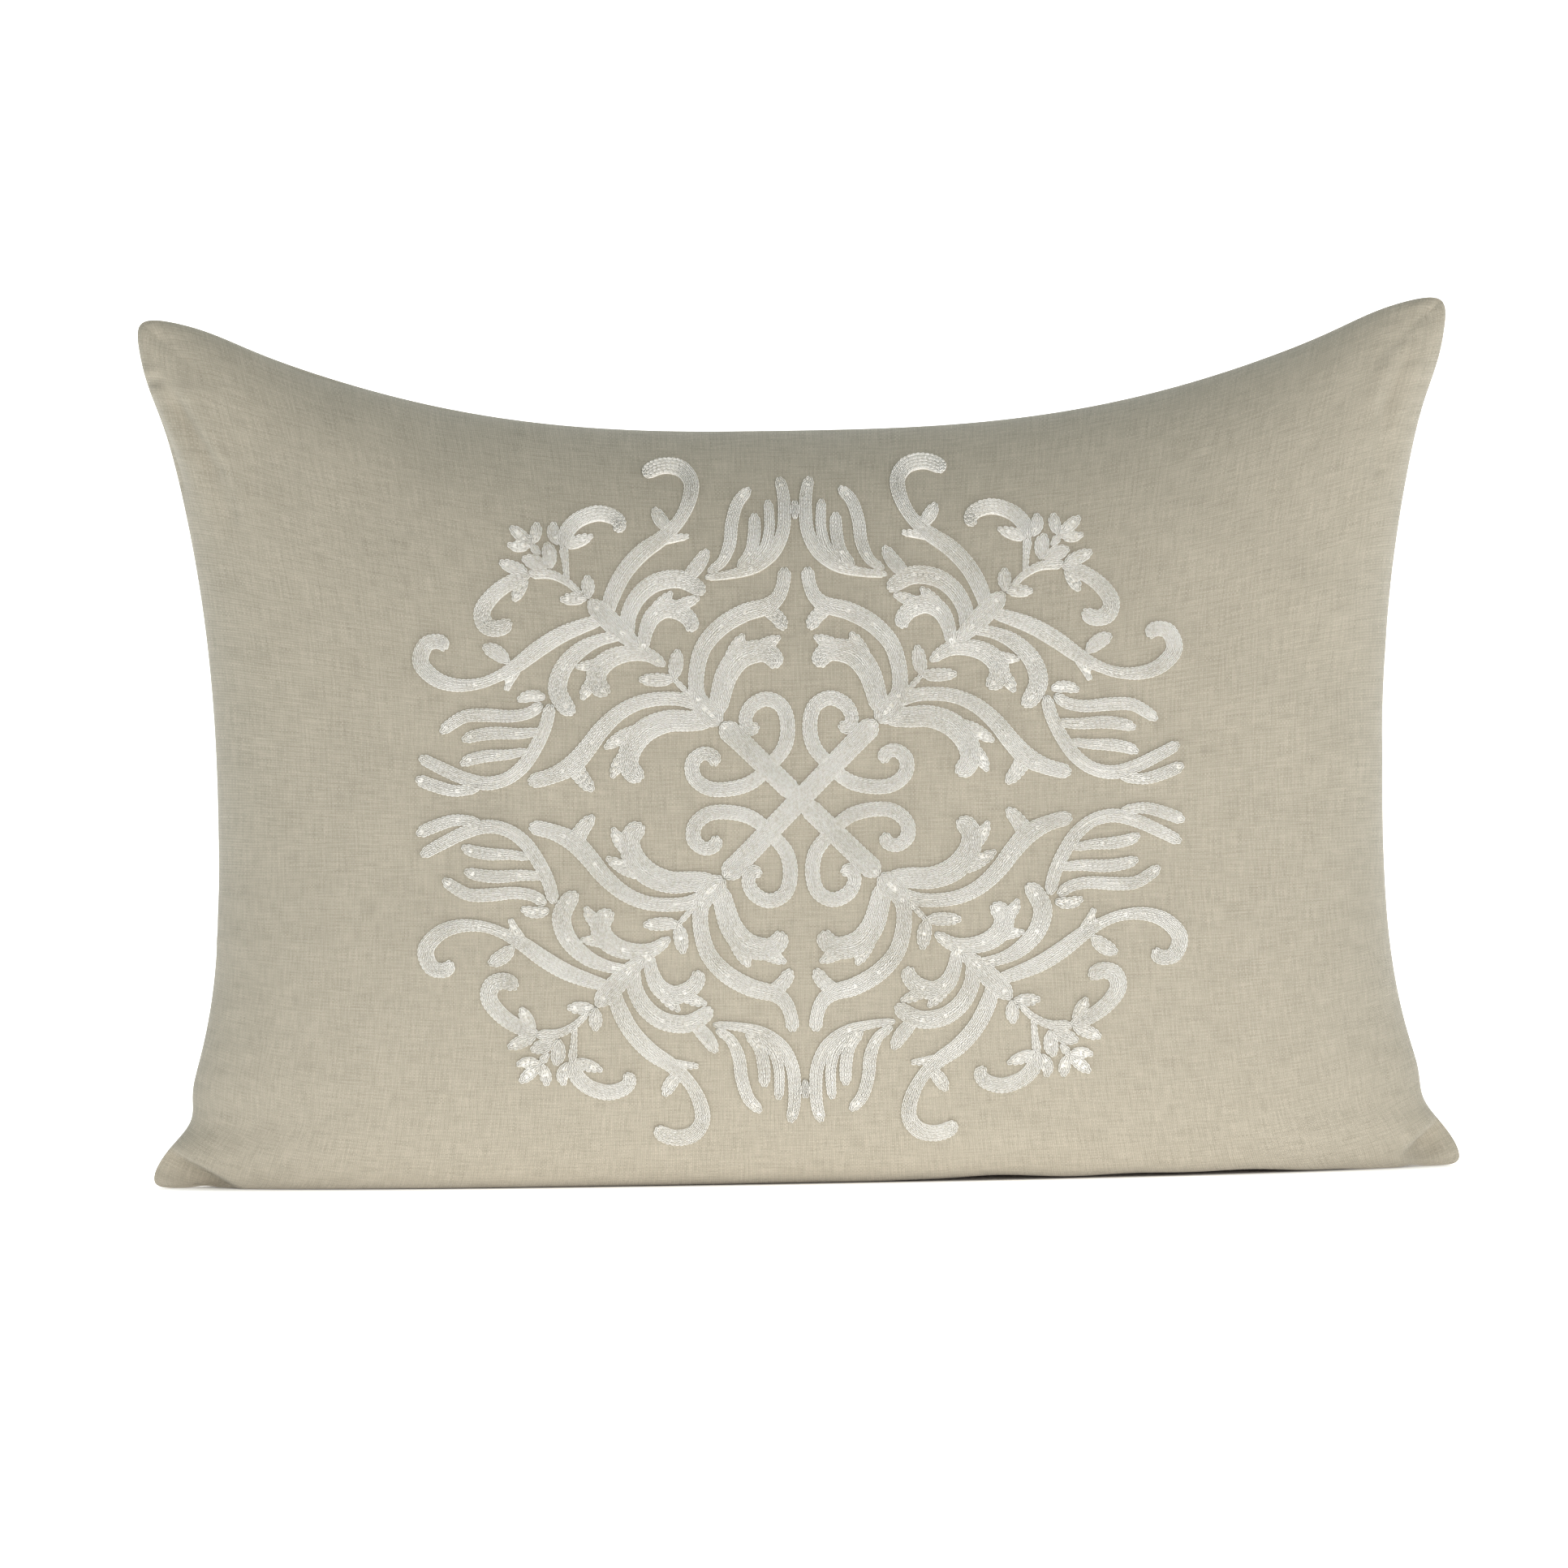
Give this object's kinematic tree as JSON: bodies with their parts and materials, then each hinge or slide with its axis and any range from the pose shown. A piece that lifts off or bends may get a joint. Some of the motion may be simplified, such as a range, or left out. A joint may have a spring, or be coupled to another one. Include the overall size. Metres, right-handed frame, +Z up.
{
  "type": "throw pillow",
  "caption": "Rectangular lumbar pillow that stands on its zipped bottom seam: linen cover, raised scrollwork on the front and a stuffed insert inside.",
  "frame": {"origin": "on the floor, under the middle of the pillow as it stands on its bottom seam", "axes": "+Z up, +X to the right along the long side, front with the embroidery towards -Y"},
  "size_m": [0.498, 0.164, 0.3299],
  "materials": {
    "natural_linen": "woven linen, natural greige, fine slubs",
    "ivory_chain_stitch": "ivory cotton chain stitch, raised",
    "sewing_thread": "spun thread in the cloth's colour",
    "stabiliser_backing": "non-woven stabiliser, white",
    "insert_ticking": "plain white cotton ticking",
    "fibre_filling": "white polyester fibre filling",
    "zip_tape": "woven zip tape, greige",
    "zip_coil_nylon": "nylon coil, greige",
    "zip_slider_zinc": "antique plated zinc",
    "label_satin": "blank satin label"
  },
  "bodies": {
    "pillow": {"cover_front_panel": "natural_linen", "cover_back_panel": "natural_linen", "seam_allowance_top": "sewing_thread", "seam_allowance_left": "sewing_thread", "seam_allowance_right": "sewing_thread", "seam_allowance_bottom_left": "sewing_thread", "seam_allowance_bottom_right": "sewing_thread", "embroidery_centre_cross": "ivory_chain_stitch", "embroidery_scrolls_upper_left": "ivory_chain_stitch", "embroidery_scrolls_upper_right": "ivory_chain_stitch", "embroidery_scrolls_lower_left": "ivory_chain_stitch", "embroidery_scrolls_lower_right": "ivory_chain_stitch", "embroidery_plumes_top": "ivory_chain_stitch", "embroidery_plumes_bottom": "ivory_chain_stitch", "embroidery_plumes_left": "ivory_chain_stitch", "embroidery_plumes_right": "ivory_chain_stitch", "embroidery_backing": "stabiliser_backing", "insert_front_shell": "insert_ticking", "insert_back_shell": "insert_ticking", "insert_filling": "fibre_filling", "insert_closing_seam": "insert_ticking", "zip_tape_front": "zip_tape", "zip_tape_back": "zip_tape", "zip_coil_front": "zip_coil_nylon", "zip_coil_back": "zip_coil_nylon", "zip_bottom_stop": "zip_slider_zinc", "zip_top_stop": "zip_slider_zinc", "bar_tack_left": "sewing_thread", "bar_tack_right": "sewing_thread", "zip_topstitch_front": "sewing_thread", "zip_topstitch_back": "sewing_thread", "care_label": "label_satin", "insert_label": "label_satin"},
    "slider": {"zip_slider": "zip_slider_zinc"},
    "tab": {"zip_pull_tab": "zip_slider_zinc"}
  },
  "joints": [
    {"name": "zip_slide", "type": "slide", "parent": "pillow", "child": "slider", "axis": [1, 0, 0], "range_m": [-0.36849, 0]},
    {"name": "tab_turn", "type": "hinge", "parent": "slider", "child": "tab", "pos_m": [0.18424, 0, 0.00445], "axis": [0, -1, 0], "range_deg": [0, 160]}
  ]
}
